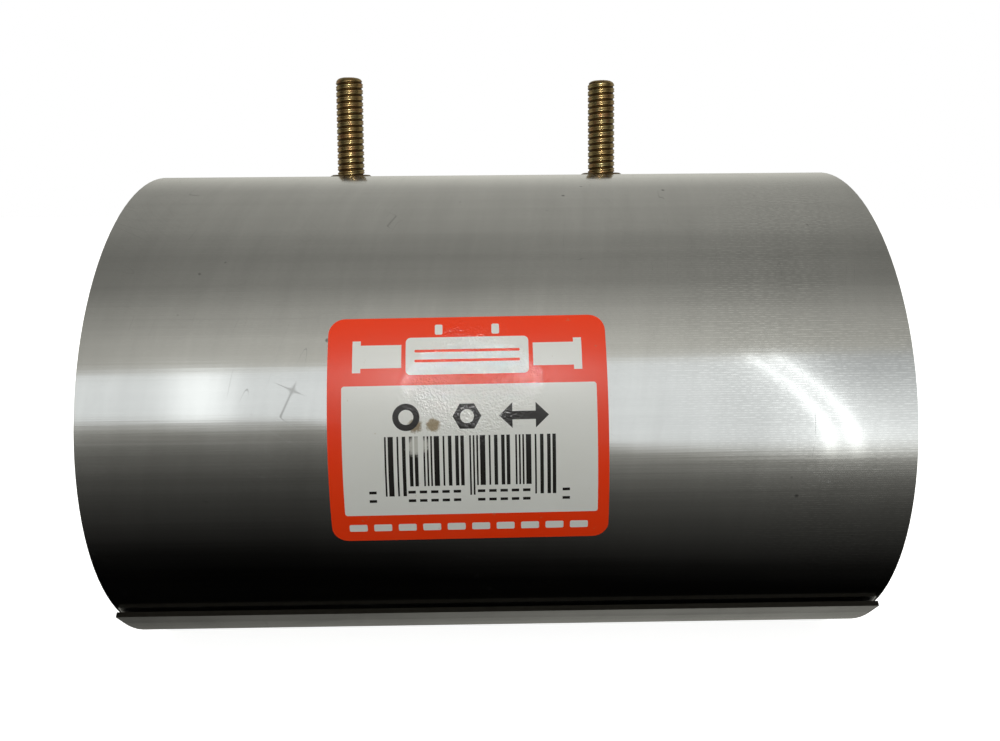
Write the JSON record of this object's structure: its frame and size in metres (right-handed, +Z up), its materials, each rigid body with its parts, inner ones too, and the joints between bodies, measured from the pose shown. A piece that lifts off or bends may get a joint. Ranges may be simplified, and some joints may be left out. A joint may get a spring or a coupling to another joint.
{
  "type": "pipe repair clamp",
  "caption": "Full-circle stainless sleeve with a rubber lining that two threaded studs and nuts draw tight round a leaking pipe.",
  "frame": {"origin": "centre of the bore, halfway along the sleeve", "axes": "+X along the pipe, +Y from the pipe towards the lugs, +Z up along the studs towards their free tips"},
  "size_m": [0.1524, 0.1152, 0.1334],
  "materials": {
    "stainless_sheet": "brushed along the pipe, fine scratches",
    "stainless_strap": "brushed along the pipe",
    "stainless_plate": "smooth mill finish",
    "bar_steel": "drawn bar, milled seats",
    "yellow_zinc": "yellow chromate zinc plating",
    "gasket_rubber": "matt moulded rubber",
    "label_film": "satin printed film"
  },
  "bodies": {
    "sleeve": {"band": "stainless_sheet", "gasket": "gasket_rubber", "bridge_plate": "stainless_plate", "upper_lug_strap": "stainless_strap", "lower_lug_strap": "stainless_strap", "upper_bar": "bar_steel", "label": "label_film"},
    "stud_set": {"lower_bar": "bar_steel", "stud_left": "yellow_zinc", "stud_right": "yellow_zinc"},
    "washer_left": {"washer_left": "yellow_zinc"},
    "washer_right": {"washer_right": "yellow_zinc"},
    "nut_left": {"nut_left": "yellow_zinc"},
    "nut_right": {"nut_right": "yellow_zinc"}
  },
  "joints": [
    {"name": "stud_swing", "type": "hinge", "parent": "sleeve", "child": "stud_set", "pos_m": [0, 0.05636, -0.0151], "axis": [-1, 0, 0], "range_deg": [0, 80]},
    {"name": "washer_left_travel", "type": "slide", "parent": "stud_set", "child": "washer_left", "axis": [0, 0, 1], "range_m": [-0.0241, 0.025]},
    {"name": "nut_left_spin", "type": "hinge", "parent": "washer_left", "child": "nut_left", "pos_m": [-0.04235, 0.05636, 0.0495], "axis": [0, 0, 1], "range_deg": [-4782.5, 4961.1]},
    {"name": "washer_right_travel", "type": "slide", "parent": "stud_set", "child": "washer_right", "axis": [0, 0, 1], "range_m": [-0.0241, 0.025]},
    {"name": "nut_right_spin", "type": "hinge", "parent": "washer_right", "child": "nut_right", "pos_m": [0.03255, 0.05636, 0.0495], "axis": [0, 0, 1], "range_deg": [-4782.5, 4961.1]}
  ],
  "couplings": [
    {"joint": "nut_left_spin", "follows": "washer_left_travel", "rad_per_m": 3463.2},
    {"joint": "nut_right_spin", "follows": "washer_right_travel", "rad_per_m": 3463.2}
  ]
}
